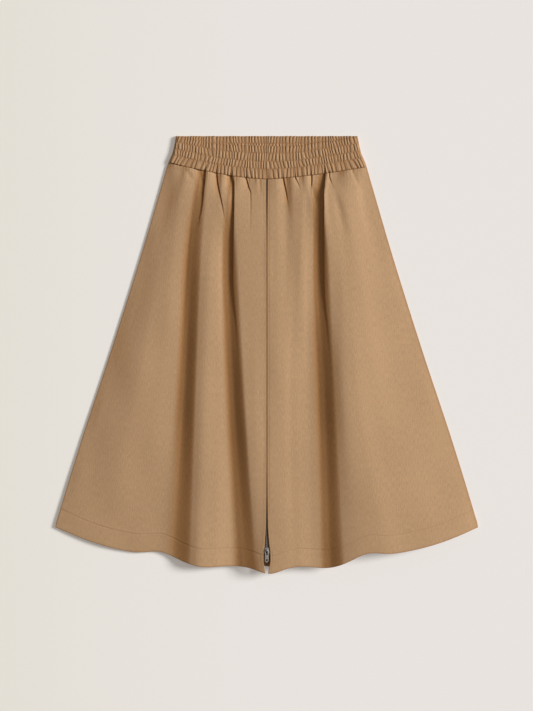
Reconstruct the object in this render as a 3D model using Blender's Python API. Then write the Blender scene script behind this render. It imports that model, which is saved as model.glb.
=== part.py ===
"""A circle skirt in tan cotton drill, laid flat with its front up.

Sizes are in millimetres and become metres where a mesh is made. X runs to the
right of the skirt as it is seen, Y from the hem to the waist, and Z up from
the surface that it lies on. "down" is a distance from the waist's top edge
towards the hem, and a share runs from 0 at the waist seam to 1 at the hem.
The origin lies under the middle of the skirt's box.
"""

import math

import bmesh
import bpy
import numpy as np

MM = 0.001
SHARP_ANGLE = math.radians(40)

# Cloth and seams
CLOTH = 1.3
TURNED_HEM = 2.4
HEM_DEPTH = 33
HEM_ROW_SLACK = 1
SEAM_GAP = 0.3

# The outline, half of the width: down, half width
SIDE = (
    (0, 160.2),
    (28, 166.0),
    (50, 174.9),
    (78, 183.2),
    (205, 220.3),
    (375, 273.6),
    (545, 329.7),
    (673, 368.8),
    (686, 372.6),
    (692, 373.5),
)

# The hem is an arc, with soft waves where folds meet it: x, further down, spread
HEM_RADIUS = 1014.6
HEM_CENTRE_DOWN = -253.1
HEM_WAVES = (
    (-297, 5.0, 53),
    (-188, -9.0, 21),
    (-115, 6.5, 25),
    (5, 11.7, 20),
    (110, 7.4, 25),
    (179, -9.0, 21),
    (301, 5.1, 53),
)
# The back's hem lies under the front's: shorter by this, and by more at the middle
BACK_SHORTER = 3.0
BACK_SHORTER_TO_CORNER = 8
BACK_SHORTER_MIDDLE = 8.5
BACK_MIDDLE_SPREAD = 22

# The waist seam, which sags towards the middle of the front: x, down
FRONT_SEAM = (
    (-173.6, 47.0),
    (-148, 54.0),
    (-100, 64.0),
    (-52, 72.5),
    (0, 76.8),
    (52, 73.0),
    (100, 67.0),
    (148, 60.0),
    (176.5, 55.5),
)
BACK_SEAM = ((-173.6, 47.0), (-90, 57.0), (0, 59.5), (90, 58.5), (176.5, 55.5))
SEAM_MIDDLE = FRONT_SEAM[4][1]

# The front's edges stand apart at the zip, most around the slider: down, x
ZIP_EDGE = (
    (76, 1.5),
    (640, 1.4),
    (690, 1.9),
    (721, 4.0),
    (733, 5.7),
    (751, 5.9),
    (762, 4.4),
    (773, 3.0),
)

# The top edge of the band's front dips in the middle: x, down
FRONT_TOP = (
    (-160, 1.0),
    (-118, 7.5),
    (-85, 14.3),
    (-17, 17.2),
    (37, 18.4),
    (91, 11.7),
    (132, 6.2),
    (160, 1.0),
)

# Folds of the front. Each line runs down a crest or a hollow of the cloth, and
# gives its x and the height of the cloth's face at these five shares.
FOLD_SHARES = (0.0, 0.07, 0.22, 0.55, 1.0)
LEFT_FOLDS = (
    # line, x at the five shares, height at the five shares
    ("side seam", (-173.6, -178, -210, -300, -373), (3.9, 3.3, 3.0, 3.0, 5.2)),
    ("low rise", (-162, -168, -190, -262, -325), (7.2, 8.0, 8.0, 8.0, 10)),
    ("outer gather", (-150, -155, -172, -228, -280), (6.5, 10, 10.0, 9.0, 11.5)),
    ("left crest", (-136, -142, -156, -196, -236), (8.6, 12, 8.5, 8.0, 10)),
    ("first hollow", (-121, -128, -138, -163, -192), (5.5, 5.2, 4.5, 5.0, 6.5)),
    ("first flank", (-113, -120, -128, -146, -170), (7.0, 8.0, 8.0, 8.5, 10)),
    ("first crest", (-103, -108, -114, -124, -130), (8.8, 15.0, 21.0, 23.0, 26.5)),
    ("short gather", (-89, -88, -98, -106, -104), (6, 10, 21.5, 25.0, 29.5)),
    ("between", (-77, -79, -84, -88, -80), (8.8, 13, 17, 20.5, 22.5)),
    ("second hollow", (-66, -73, -75, -70, -57), (5.5, 5.2, 9.0, 12, 11.5)),
    ("second flank", (-59, -68, -69, -61, -46), (7.4, 8.0, 11.0, 14.5, 14)),
    ("second crest", (-48, -57, -56, -42, -20), (8.8, 15.5, 22.0, 26.5, 25.5)),
    ("inner gather", (-34, -31, -31, -24, -12), (6.5, 10.5, 18.5, 26.5, 27)),
    ("zip rise", (-17, -16, -15, -12, -7), (8.6, 15, 20, 26, 27.6)),
    ("zip edge", (-1.5, -1.5, -1.4, -1.4, -3.0), (8, 15, 20.5, 26, 28)),
)
RIGHT_FOLDS = (
    ("zip edge", (1.5, 1.5, 1.4, 1.4, 3.0), (8, 15, 20.5, 26, 28)),
    ("zip rise", (16, 16, 17, 20, 20), (8.8, 15, 20.5, 26, 27.5)),
    ("inner gather", (33, 38, 40, 38, 40), (6, 9, 18, 24.5, 25.5)),
    ("middle crest", (46, 48, 50, 50, 54), (8.8, 14, 18.5, 23, 22.5)),
    ("short gather", (58, 61, 61, 60, 66), (7, 12.5, 17.5, 20.5, 18.5)),
    ("next crest", (69, 69, 68, 68, 75), (8.8, 14.5, 14.5, 17, 14.5)),
    ("fading gather", (79, 77, 76, 75, 83), (6.5, 9.0, 9.0, 14.5, 11.5)),
    ("third hollow", (91, 85, 84, 83, 91), (5.5, 5.0, 6.0, 12.5, 9.5)),
    ("third flank", (98, 91, 90, 95, 106), (7.2, 8.0, 9.5, 15, 13)),
    ("third crest", (107, 102, 104, 122, 140), (8.8, 14.5, 20.5, 28.0, 28)),
    ("shoulder", (115, 115, 120, 142, 168), (7.2, 12.5, 21, 30, 32.5)),
    ("slanting gather", (126, 131, 139, 158, 194), (6.5, 10.5, 17.5, 28.5, 32.5)),
    ("right crest", (142, 146, 158, 180, 224), (8.8, 14.5, 19.0, 24.5, 28.5)),
    ("outer gather", (157, 160, 172, 208, 264), (7.0, 11.5, 15.5, 18.5, 20)),
    ("low rise", (167, 172, 190, 246, 316), (7.4, 9, 11, 11.0, 11)),
    ("side seam", (176.5, 180, 210, 300, 373), (3.9, 3.3, 3.0, 3.0, 5.2)),
)
# Folds of the back lift its underside off the surface, under the front's hollows
BACK_FOLDS = (
    ("side seam", (-173.6, -178, -210, -300, -373), (0, 0, 0, 0, 0)),
    ("left flat", (-150, -158, -180, -235, -290), (0, 0, 0, 0, 0)),
    ("left rest", (-121, -128, -138, -163, -192), (0, 0, 0, 0, 0)),
    ("second rest", (-98, -104, -110, -116, -120), (0, 0, 0, 0, 0)),
    ("second fold", (-68, -73, -74, -70, -56), (0, 1.0, 4.5, 8.0, 5.5)),
    ("middle rest", (-36, -38, -36, -26, -16), (0, 0, 0, 0, 0)),
    ("right of the zip", (34, 36, 38, 36, 40), (0, 0, 0, 0, 0)),
    ("third fold", (88, 85, 84, 83, 91), (0, 1.0, 2.0, 8.5, 3.5)),
    ("third rest", (122, 120, 122, 130, 150), (0, 0, 0, 0, 0)),
    ("right flat", (155, 160, 185, 240, 296), (0, 0, 0, 0, 0)),
    ("side seam", (176.5, 180, 210, 300, 373), (0, 0, 0, 0, 0)),
)
STEPS_BETWEEN_LINES = 3
BACK_STEPS_BETWEEN_LINES = 2
GATHER_SHARE = 0.22
FOOT_SHARE = 0.90
FRONT_ROWS = (8, 8, 2, 4)
BACK_ROWS = (4, 5, 1, 3)

# The elasticated band: sewn channels, as shares of the band's height. Its wall
# is cloth, elastic and cloth, and the gathers stand on that. The back's ends
# come up to the front's, which thin out there.
CHANNELS = (0.0, 0.22, 0.47, 0.70, 1.0)
BACK_BAND_ROWS = (0.0, 0.11, 0.22, 0.60, 1.0)
GATHERS = 60
GATHER_RISE = 2.2
GATHER_RISE_AT_STITCHES = 0.25
BAND_WALL = 2.3
BACK_BAND_END = BAND_WALL + GATHER_RISE
FRONT_BAND_END = 1.6
BAND_END_GATHERS = 1.5

# The zip under the front's edges, down from the top edge of the band
TAPE_WIDTH = 12
TAPE_THICK = 0.9
TAPE_END = 757
TEETH_WIDTH = 2.7
TEETH_THICK = 2.4
TEETH_TO_MIDDLE = 0.15
TEETH_END = 752
TEETH_SPREAD = 2.3
ZIP_START = 1.5

# The slider: two plates, a post between the parted teeth, a bridge for the pull
SLIDER_DOWN = (727.5, 737.5)
PLATE_OUTLINE = (
    # from the slider's top, half width
    (0.0, 3.5),
    (7.0, 4.8),
    (10.0, 4.0),
)
PLATE = 1.0
PLATE_GAP = 0.3
POST_OUTLINE = (
    # from the slider's top, half width
    (6.4, 0.3),
    (9.6, 1.2),
)
BRIDGE_INNER = 1.5
BRIDGE_OUTER = 2.6
BRIDGE_WIDTH = 1.6
BRIDGE_STEPS = 10

# The pull tab, measured from the axis of its bar
PULL_FROM_TOP = 4.2
PULL_THICK = 1.2
PULL_BAR = 0.7
PULL_OUTLINE = (
    # from the axis, half width
    (-0.7, 2.7),
    (4.6, 2.7),
    (8.0, 3.0),
    (18.0, 3.0),
    (20.4, 1.4),
    (21.0, 0.6),
)
PULL_WINDOW = (
    # from the axis, half width
    (0.7, 1.7),
    (3.9, 1.7),
)
PULL_HOLE_AT = 16.5
PULL_HOLE_RADIUS = 1.4
PULL_HOLE_SIDES = 12

# Colours as linear red, green and blue
CLOTH_TAN = (0.445, 0.270, 0.147)
TAPE_BROWN = (0.235, 0.145, 0.085)
TEETH_METAL = (0.42, 0.38, 0.33)
SLIDER_METAL = (0.33, 0.30, 0.26)


def columns(table):
    """The columns of a short table, as arrays."""
    return [np.array(column, float) for column in zip(*table)]


def smooth(places, values, at):
    """A curve through the values that never overshoots them (monotone cubic).

    values may hold one curve, or one row for each curve.
    """
    places, values, at = (np.asarray(a, float) for a in (places, values, at))
    step = np.diff(places)
    rise = np.diff(values, axis=-1) / step
    slope = np.zeros_like(values)
    before, after = rise[..., :-1], rise[..., 1:]
    near, far = 2 * step[1:] + step[:-1], step[1:] + 2 * step[:-1]
    same_way = before * after > 0
    safe_before = np.where(same_way, before, 1.0)
    safe_after = np.where(same_way, after, 1.0)
    mean = (near + far) / (near / safe_before + far / safe_after)
    slope[..., 1:-1] = np.where(same_way, mean, 0.0)
    slope[..., 0], slope[..., -1] = rise[..., 0], rise[..., -1]
    i = np.clip(np.searchsorted(places, at, side="right") - 1, 0, len(step) - 1)
    t = (at - places[i]) / step[i]
    start, end = values[..., i], values[..., i + 1]
    leave, arrive = slope[..., i] * step[i], slope[..., i + 1] * step[i]
    return (
        (2 * t**3 - 3 * t**2 + 1) * start
        + (t**3 - 2 * t**2 + t) * leave
        + (3 * t**2 - 2 * t**3) * end
        + (t**3 - t**2) * arrive
    )


def read_curve(table, at):
    """The second column of a table of two, read between its rows."""
    places, values = columns(table)
    return smooth(places, values, np.clip(at, places[0], places[-1]))


def hem_down(x):
    """The front's hem: an arc about a point above the waist, with its waves."""
    x = np.asarray(x, float)
    down = HEM_CENTRE_DOWN + np.sqrt(HEM_RADIUS**2 - x**2)
    for middle, further, spread in HEM_WAVES:
        down = down + further * np.exp(-0.5 * ((x - middle) / spread) ** 2)
    return down


def back_hem_down(x):
    """The back's hem: the front's, drawn up a little, and more at the middle."""
    x = np.asarray(x, float)
    corner = SIDE[-1][1]
    shorter = BACK_SHORTER * (1 - (x / corner) ** BACK_SHORTER_TO_CORNER)
    middle = BACK_SHORTER_MIDDLE * np.exp(-0.5 * (x / BACK_MIDDLE_SPREAD) ** 2)
    return hem_down(x) - shorter - middle


LENGTH = float(hem_down(np.linspace(-30, 30, 601)).max())


def row_shares(counts, length):
    """Shares from waist to hem: close at the gathers, wide below, close at the hem."""
    ends = (0, GATHER_SHARE, FOOT_SHARE, 1 - HEM_DEPTH / length, 1)
    runs = [
        np.linspace(start, end, count, endpoint=False)
        for start, end, count in zip(ends[:-1], ends[1:], counts)
    ]
    return np.append(np.concatenate(runs), 1)


def panel_grid(folds, seam, hem, shares, steps):
    """x, down and height of a panel's face, a row for each share.

    x and height follow the fold lines down the panel and run smoothly from
    line to line across it. down runs from the waist seam to the hem.
    """
    across = np.array([smooth(FOLD_SHARES, line[1], shares) for line in folds]).T
    height = np.array([smooth(FOLD_SHARES, line[2], shares) for line in folds]).T
    for i, line in enumerate(folds):
        side = math.copysign(1, line[1][0])
        top, foot = read_curve(seam, line[1][0]), hem(line[1][-1])
        if line[0] == "side seam":
            across[:, i] = side * read_curve(SIDE, top + shares * (foot - top))
        if line[0] == "zip edge":
            across[:, i] = side * read_curve(ZIP_EDGE, top + shares * (foot - top))
    lines = np.arange(len(folds))
    between = np.linspace(0, len(folds) - 1, (len(folds) - 1) * steps + 1)
    x = smooth(lines, across, between)
    z = smooth(lines, height, between)
    start, end = read_curve(seam, x[0]), hem(x[-1])
    down = start + shares[:, None] * (end - start)
    return x, down, z


def slope_factor(x, down, z):
    """How much taller than its thickness a wall is, measured straight up."""
    along = np.gradient(z, axis=0) / np.gradient(down, axis=0)
    drift = np.gradient(x, axis=0) / np.gradient(down, axis=0)
    across = np.gradient(z, axis=1) / np.gradient(x, axis=1)
    return np.sqrt(1 + across**2 + (along - drift * across) ** 2)


def wall_at(shares, length):
    """The cloth's thickness down a panel: doubled and more at the turned hem."""
    from_hem = (1 - shares) * length
    in_hem = from_hem < HEM_DEPTH + HEM_ROW_SLACK
    return np.where(in_hem, TURNED_HEM, CLOTH)[:, None]


def points(x, down, z):
    """Points in the skirt's frame, in millimetres."""
    x, down, z = np.broadcast_arrays(x, down, z)
    return np.stack([x, LENGTH / 2 - down, z], axis=-1).astype(float)


def material(name, color, roughness, metallic=0.0):
    """A plain finish for one sub-part."""
    made = bpy.data.materials.new(name)
    made.use_nodes = True
    shader = made.node_tree.nodes["Principled BSDF"]
    shader.inputs["Base Color"].default_value = (*color, 1)
    shader.inputs["Roughness"].default_value = roughness
    shader.inputs["Metallic"].default_value = metallic
    return made


def add_object(name, vertices, faces, finish):
    """An object from points in millimetres and faces that point out."""
    mesh = bpy.data.meshes.new(name)
    mesh.from_pydata((np.asarray(vertices) * MM).tolist(), [], faces)
    mesh.materials.append(finish)
    mesh.shade_smooth()
    mesh.set_sharp_from_angle(angle=SHARP_ANGLE)
    mesh.update()
    made = bpy.data.objects.new(name, mesh)
    bpy.context.scene.collection.objects.link(made)
    return made


def add_wall(name, top, bottom, finish):
    """A closed wall between a top and a bottom grid with the same columns."""
    rows, cols = top.shape[:2]
    low_rows = bottom.shape[0]
    upper = np.arange(rows * cols).reshape(rows, cols)
    lower = rows * cols + np.arange(low_rows * cols).reshape(low_rows, cols)

    def quads(a, b, c, d):
        return np.stack([a, b, c, d], axis=-1).reshape(-1, 4).tolist()

    faces = quads(upper[:-1, :-1], upper[1:, :-1], upper[1:, 1:], upper[:-1, 1:])
    faces += quads(lower[:-1, :-1], lower[:-1, 1:], lower[1:, 1:], lower[1:, :-1])
    faces += quads(lower[0, :-1], upper[0, :-1], upper[0, 1:], lower[0, 1:])
    faces += quads(upper[-1, :-1], lower[-1, :-1], lower[-1, 1:], upper[-1, 1:])
    if rows == low_rows:
        faces += quads(upper[:-1, 0], lower[:-1, 0], lower[1:, 0], upper[1:, 0])
        faces += quads(lower[:-1, -1], upper[:-1, -1], upper[1:, -1], lower[1:, -1])
    else:
        faces.append([*lower[:, 0].tolist(), *upper[::-1, 0].tolist()])
        faces.append([*upper[:, -1].tolist(), *lower[::-1, -1].tolist()])
    vertices = np.concatenate([top.reshape(-1, 3), bottom.reshape(-1, 3)])
    return add_object(name, vertices, faces, finish)


def front_grid(folds, shares):
    """Top and underside heights of one front half."""
    x, down, z = panel_grid(folds, FRONT_SEAM, hem_down, shares, STEPS_BETWEEN_LINES)
    length = down[-1].mean() - down[0].mean()
    under = z - wall_at(shares, length) * slope_factor(x, down, z)
    return x, down, z, under


def front_shares():
    """The rows of points down the front."""
    return row_shares(FRONT_ROWS, LENGTH - SEAM_MIDDLE)


def front_panel(name, folds, finish):
    """One half of the front, from the side seam to the zip."""
    x, down, z, under = front_grid(folds, front_shares())
    return add_wall(name, points(x, down, z), points(x, down, under), finish)


def back_panel(finish):
    """The back, lying on the surface but for its low folds."""
    shares = row_shares(BACK_ROWS, LENGTH - SEAM_MIDDLE)
    x, down, under = panel_grid(
        BACK_FOLDS, BACK_SEAM, back_hem_down, shares, BACK_STEPS_BETWEEN_LINES
    )
    length = down[-1].mean() - down[0].mean()
    z = under + wall_at(shares, length) * slope_factor(x, down, under)
    return add_wall("back_panel", points(x, down, z), points(x, down, under), finish)


def band_half(name, top_edge, seam, rows, under, end_wall, finish):
    """Half of the band: gathers raised on its outer points, a plain inside.

    Every second column is a crest. The crests change places from one sewn
    channel to the next, and all lie low where the channels are sewn.
    """
    share = np.linspace(-1, 1, 2 * GATHERS + 1)
    rows = np.asarray(rows, float)
    x_seam = np.where(share < 0, -seam[0][0], seam[-1][0]) * share
    start = top_edge(share * SIDE[0][1])
    end = read_curve(seam, x_seam) - SEAM_GAP
    down = start + rows[:, None] * (end - start)
    side_down = np.where(share < 0, down[:, :1], down[:, -1:])
    x = share * read_curve(SIDE, side_down)
    channel = np.searchsorted(CHANNELS, rows, side="right") - 1
    sewn = np.isin(rows, CHANNELS[1:-1])
    crest = (np.arange(share.size)[None, :] + channel[:, None]) % 2
    height = np.where(sewn, GATHER_RISE_AT_STITCHES, 1.0)[:, None] * GATHER_RISE
    from_end = np.clip((1 - np.abs(share)) * GATHERS / BAND_END_GATHERS, 0, 1)
    z = under + end_wall + from_end * (BAND_WALL - end_wall + height * crest)
    edges = [0, -1]
    plain = points(x[edges], down[edges], under)
    return add_wall(name, points(x, down, z), plain, finish)


def front_top_edge(x):
    """The dipping top edge of the band's front."""
    return read_curve(FRONT_TOP, x)


def channel_rows():
    """Rows of points for the band: each sewn line and each channel's middle."""
    lines = np.array(CHANNELS)
    middles = (lines[:-1] + lines[1:]) / 2
    return np.sort(np.concatenate([lines, middles]))


def under_front(folds, across, down):
    """Height of a front half's underside at places given by x and down."""
    x, grid_down, _, under = front_grid(folds, front_shares())
    heights = []
    for place, place_down in zip(across.ravel(), down.ravel()):
        on_rows = [np.interp(place, x[i], under[i]) for i in range(len(x))]
        row_downs = [np.interp(place, x[i], grid_down[i]) for i in range(len(x))]
        heights.append(np.interp(place_down, row_downs, on_rows))
    return np.reshape(heights, across.shape)


def zip_downs(last):
    """Places down the zip: the front's own rows, then the slider's ends."""
    rows = SEAM_MIDDLE + front_shares() * (LENGTH - SEAM_MIDDLE)
    rows[0] += ZIP_START
    above = rows[rows < SLIDER_DOWN[0] - ZIP_START]
    return np.append(above, [*SLIDER_DOWN, last])


def teeth_inner(down):
    """How far a row of teeth stays from the zip line: apart below the slider."""
    return np.interp(down, SLIDER_DOWN, (TEETH_TO_MIDDLE, TEETH_SPREAD))


def zip_level(down):
    """Height of the middle of the teeth: just clear of the cloth on both sides."""
    outer = teeth_inner(down) + TEETH_WIDTH
    left = under_front(LEFT_FOLDS, -outer, down)
    right = under_front(RIGHT_FOLDS, outer, down)
    return np.minimum(left, right) - SEAM_GAP - TEETH_THICK / 2


def zip_half(which, side, folds, tape_finish, teeth_finish):
    """One tape under its front edge, and the row of teeth along it."""
    down = zip_downs(TAPE_END)[:, None]
    inner = teeth_inner(down) + TEETH_WIDTH + SEAM_GAP
    offsets = side * (inner + np.array([0, TAPE_WIDTH / 2, TAPE_WIDTH]))
    down = np.repeat(down, offsets.shape[1], axis=1)
    top = under_front(folds, offsets, down) - SEAM_GAP
    top[:, 0] = zip_level(down[:, 0]) + TAPE_THICK / 2
    offsets, top = offsets[:, ::side], top[:, ::side]
    add_wall(
        f"zip_tape_{which}",
        points(offsets, down, top),
        points(offsets, down, top - TAPE_THICK),
        tape_finish,
    )
    down = zip_downs(TEETH_END)[:, None]
    middle = zip_level(down)
    offsets = side * (teeth_inner(down) + np.array([0, TEETH_WIDTH]))[:, ::side]
    add_wall(
        f"zip_teeth_{which}",
        points(offsets, down, middle + TEETH_THICK / 2),
        points(offsets, down, middle - TEETH_THICK / 2),
        teeth_finish,
    )


def solid_from(build):
    """Vertices and faces of a closed shape built by bmesh operators."""
    shape = bmesh.new()
    build(shape)
    bmesh.ops.recalc_face_normals(shape, faces=shape.faces)
    vertices = np.array([vertex.co[:] for vertex in shape.verts])
    shape.verts.index_update()
    faces = [[vertex.index for vertex in face.verts] for face in shape.faces]
    shape.free()
    return vertices, faces


def extruded(ring, way):
    """A closed shape: a flat ring of points, carried along a vector."""

    def build(shape):
        base = shape.faces.new([shape.verts.new(point) for point in ring])
        grown = bmesh.ops.extrude_face_region(shape, geom=[base])["geom"]
        moved = [v for v in grown if isinstance(v, bmesh.types.BMVert)]
        bmesh.ops.translate(shape, verts=moved, vec=way)

    return solid_from(build)


def upright(outline, start, low, high):
    """An upright prism, the same on both sides of the zip line.

    outline gives distances towards the hem from y = start, and half widths.
    """
    right = [(half, start - along, low) for along, half in outline]
    left = [(-half, start - along, low) for along, half in outline]
    return extruded(right + left[::-1], (0, 0, high - low))


def join_to(target, name, shape, operation, finish):
    """A Boolean with a hidden helper of this shape."""
    helper = add_object(name, *shape, finish)
    helper.hide_render = True
    helper.display_type = "WIRE"
    helper.parent = target.parent
    step = target.modifiers.new(name, "BOOLEAN")
    step.operation = operation
    step.object = helper


def pull_pivot(level):
    """y and height of the axis that the pull tab turns on."""
    height = level + TEETH_THICK / 2 + PLATE_GAP + PLATE + SEAM_GAP + PULL_BAR
    return LENGTH / 2 - SLIDER_DOWN[0] - PULL_FROM_TOP, height


def slider(level, finish):
    """Two plates around the teeth, a post between them, and the bridge on top."""
    start = LENGTH / 2 - SLIDER_DOWN[0]
    gap = TEETH_THICK / 2 + PLATE_GAP
    top_plate = upright(PLATE_OUTLINE, start, level + gap, level + gap + PLATE)
    low_plate = upright(PLATE_OUTLINE, start, level - gap - PLATE, level - gap)
    reach = gap + PLATE / 2
    post = upright(POST_OUTLINE, start, level - reach, level + reach)

    pivot_y, pivot_z = pull_pivot(level)
    foot = level + reach
    turns = np.linspace(0, math.pi, BRIDGE_STEPS + 1)
    profile = []
    for radius, way in ((BRIDGE_OUTER, 1), (BRIDGE_INNER, -1)):
        y = pivot_y + way * radius * np.cos(turns)
        z = pivot_z + radius * np.sin(turns)
        profile += [(y[0], foot), *zip(y, z), (y[-1], foot)]
    ring = [(-BRIDGE_WIDTH / 2, y, z) for y, z in profile]
    bridge = extruded(ring, (BRIDGE_WIDTH, 0, 0))

    made = add_object("zip_slider", *top_plate, finish)
    join_to(made, "slider_low_plate", low_plate, "UNION", finish)
    join_to(made, "slider_post", post, "UNION", finish)
    join_to(made, "slider_bridge", bridge, "UNION", finish)


def pull_tab(level, finish):
    """The tab: a bar through the bridge, a window around it, and a hole."""
    pivot_y, pivot_z = pull_pivot(level)
    pivot = bpy.data.objects.new("pull_axis", None)
    pivot.location = (0, pivot_y * MM, pivot_z * MM)
    bpy.context.scene.collection.objects.link(pivot)
    half = PULL_THICK / 2
    tab = add_object("zip_pull", *upright(PULL_OUTLINE, 0, -half, half), finish)
    tab.parent = pivot
    window = upright(PULL_WINDOW, 0, -PULL_THICK, PULL_THICK)
    join_to(tab, "pull_window", window, "DIFFERENCE", finish)
    turns = np.linspace(0, 2 * math.pi, PULL_HOLE_SIDES, endpoint=False)
    ring = [
        (
            PULL_HOLE_RADIUS * math.cos(turn),
            PULL_HOLE_RADIUS * math.sin(turn) - PULL_HOLE_AT,
            -PULL_THICK,
        )
        for turn in turns
    ]
    hole = extruded(ring, (0, 0, 2 * PULL_THICK))
    join_to(tab, "pull_hole", hole, "DIFFERENCE", finish)


for old in list(bpy.data.objects):
    bpy.data.objects.remove(old, do_unlink=True)

drill = material("cotton drill", CLOTH_TAN, roughness=0.9)
band_drill = material("gathered cotton drill", CLOTH_TAN, roughness=0.9)
tape = material("woven zip tape", TAPE_BROWN, roughness=0.85)
teeth = material("zip teeth metal", TEETH_METAL, roughness=0.4, metallic=1.0)
cast = material("slider metal", SLIDER_METAL, roughness=0.35, metallic=1.0)

back_panel(drill)
front_panel("front_panel_left", LEFT_FOLDS, drill)
front_panel("front_panel_right", RIGHT_FOLDS, drill)

band_half(
    "waistband_back",
    np.zeros_like,
    BACK_SEAM,
    BACK_BAND_ROWS,
    0.0,
    BACK_BAND_END,
    band_drill,
)
band_half(
    "waistband_front",
    front_top_edge,
    FRONT_SEAM,
    channel_rows(),
    BAND_WALL + GATHER_RISE + SEAM_GAP,
    FRONT_BAND_END,
    band_drill,
)

zip_half("left", -1, LEFT_FOLDS, tape, teeth)
zip_half("right", 1, RIGHT_FOLDS, tape, teeth)
slider_level = float(zip_level(np.array([sum(SLIDER_DOWN) / 2]))[0])
slider(slider_level, cast)
pull_tab(slider_level, cast)
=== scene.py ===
"""The looks of a circle skirt in tan cotton drill, laid flat with its front up.

Sizes are in millimetres and become metres where a mesh is made. X runs to the
right of the skirt as it is seen, Y from the hem to the waist and Z up from the
surface. "down" is a distance from the waist's top edge towards the hem, and a
share runs from 0 at the waist seam to 1 at the hem.
"""

import math

import bpy
import numpy as np
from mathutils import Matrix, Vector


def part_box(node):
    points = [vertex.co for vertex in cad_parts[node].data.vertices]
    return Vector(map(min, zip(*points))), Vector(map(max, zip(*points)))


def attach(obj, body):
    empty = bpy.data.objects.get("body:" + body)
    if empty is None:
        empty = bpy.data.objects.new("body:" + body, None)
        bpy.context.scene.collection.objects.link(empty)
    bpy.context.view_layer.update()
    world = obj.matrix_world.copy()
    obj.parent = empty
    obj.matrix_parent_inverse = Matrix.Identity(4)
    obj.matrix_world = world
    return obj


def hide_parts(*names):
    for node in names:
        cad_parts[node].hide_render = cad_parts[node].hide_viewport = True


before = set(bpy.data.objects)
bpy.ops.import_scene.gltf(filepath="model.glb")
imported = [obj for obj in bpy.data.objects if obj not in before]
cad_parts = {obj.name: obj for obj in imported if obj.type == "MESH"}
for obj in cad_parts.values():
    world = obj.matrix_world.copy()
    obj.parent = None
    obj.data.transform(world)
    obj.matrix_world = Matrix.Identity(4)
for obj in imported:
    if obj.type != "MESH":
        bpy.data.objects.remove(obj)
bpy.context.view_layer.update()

# ---------------------------------------------------------------- the studio
# The skirt lies on a pale, plain surface and is seen straight down, from far
# enough that nothing narrows. One large soft light stands low on the right, and
# weaker light from above and from all sides fills the shadows.

MM = 0.001
CAMERA_OVER = (-0.5, -1.9)
CAMERA_HEIGHT = 6000
VIEW_HEIGHT = 1258
SENSOR_WIDTH = 36
FLOOR_SIZE = 40000
FLOOR_DROP = 0.05
FLOOR_COLOUR = (0.617, 0.588, 0.566)
FLOOR_GRAIN = (0.603, 0.573, 0.549)
# Painted shade: the surface is a little darker and warmer on the left, where the
# light falls off. Its colour there, and the two places between which it changes
FLOOR_SHADED_LEFT = (0.585, 0.560, 0.510)
LEFT_FROM, LEFT_TO = -480, -40
# It glows a little, so that shadows on it stay pale
FLOOR_GLOW = 0.40
LIGHTS_AWAY = 4000
# The large light: azimuth and elevation, the width of its disc, its strength
KEY_FROM = (12, 32)
KEY_SOFTNESS = math.radians(20)
KEY_STRENGTH = 4.3
KEY_COLOUR = (0.985, 1.0, 1.02)
FILL_FROM = (0, 80)
FILL_SIZE = 2600
FILL_POWER = 10
SKY_COLOUR = (1.0, 0.88, 0.74)
SKY_STRENGTH = 0.16


def put_in_scene(name, data):
    """An object that shows the data, in the scene."""
    made = bpy.data.objects.new(name, data)
    bpy.context.scene.collection.objects.link(made)
    return made


def add_light(name, kind, azimuth, elevation, strength):
    """A light that looks at the skirt's middle.

    azimuth turns from the right towards the waist, elevation up from the surface.
    """
    lamp = bpy.data.lights.new(name, kind)
    lamp.energy = strength
    made = put_in_scene(name, lamp)
    turn, lift = math.radians(azimuth), math.radians(elevation)
    level = math.cos(lift)
    toward = (math.cos(turn) * level, math.sin(turn) * level, math.sin(lift))
    made.location = np.array(toward) * LIGHTS_AWAY * MM
    made.rotation_euler = (0, math.radians(90 - elevation), turn)
    return lamp


camera = bpy.data.cameras.new("camera")
camera.sensor_width = SENSOR_WIDTH
camera.lens = CAMERA_HEIGHT * SENSOR_WIDTH / VIEW_HEIGHT
camera.clip_end = 100
camera_stand = put_in_scene("camera", camera)
camera_stand.location = (CAMERA_OVER[0] * MM, CAMERA_OVER[1] * MM, CAMERA_HEIGHT * MM)
bpy.context.scene.camera = camera_stand

key_light = add_light("key light", "SUN", *KEY_FROM, KEY_STRENGTH)
key_light.angle = KEY_SOFTNESS
key_light.color = KEY_COLOUR
fill_light = add_light("soft box", "AREA", *FILL_FROM, FILL_POWER)
fill_light.shape = "DISK"
fill_light.size = FILL_SIZE * MM

sky = bpy.data.worlds.new("studio")
sky.use_nodes = True
sky.node_tree.nodes["Background"].inputs["Color"].default_value = (*SKY_COLOUR, 1)
sky.node_tree.nodes["Background"].inputs["Strength"].default_value = SKY_STRENGTH
bpy.context.scene.world = sky
bpy.context.scene.view_settings.view_transform = "Standard"


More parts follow.
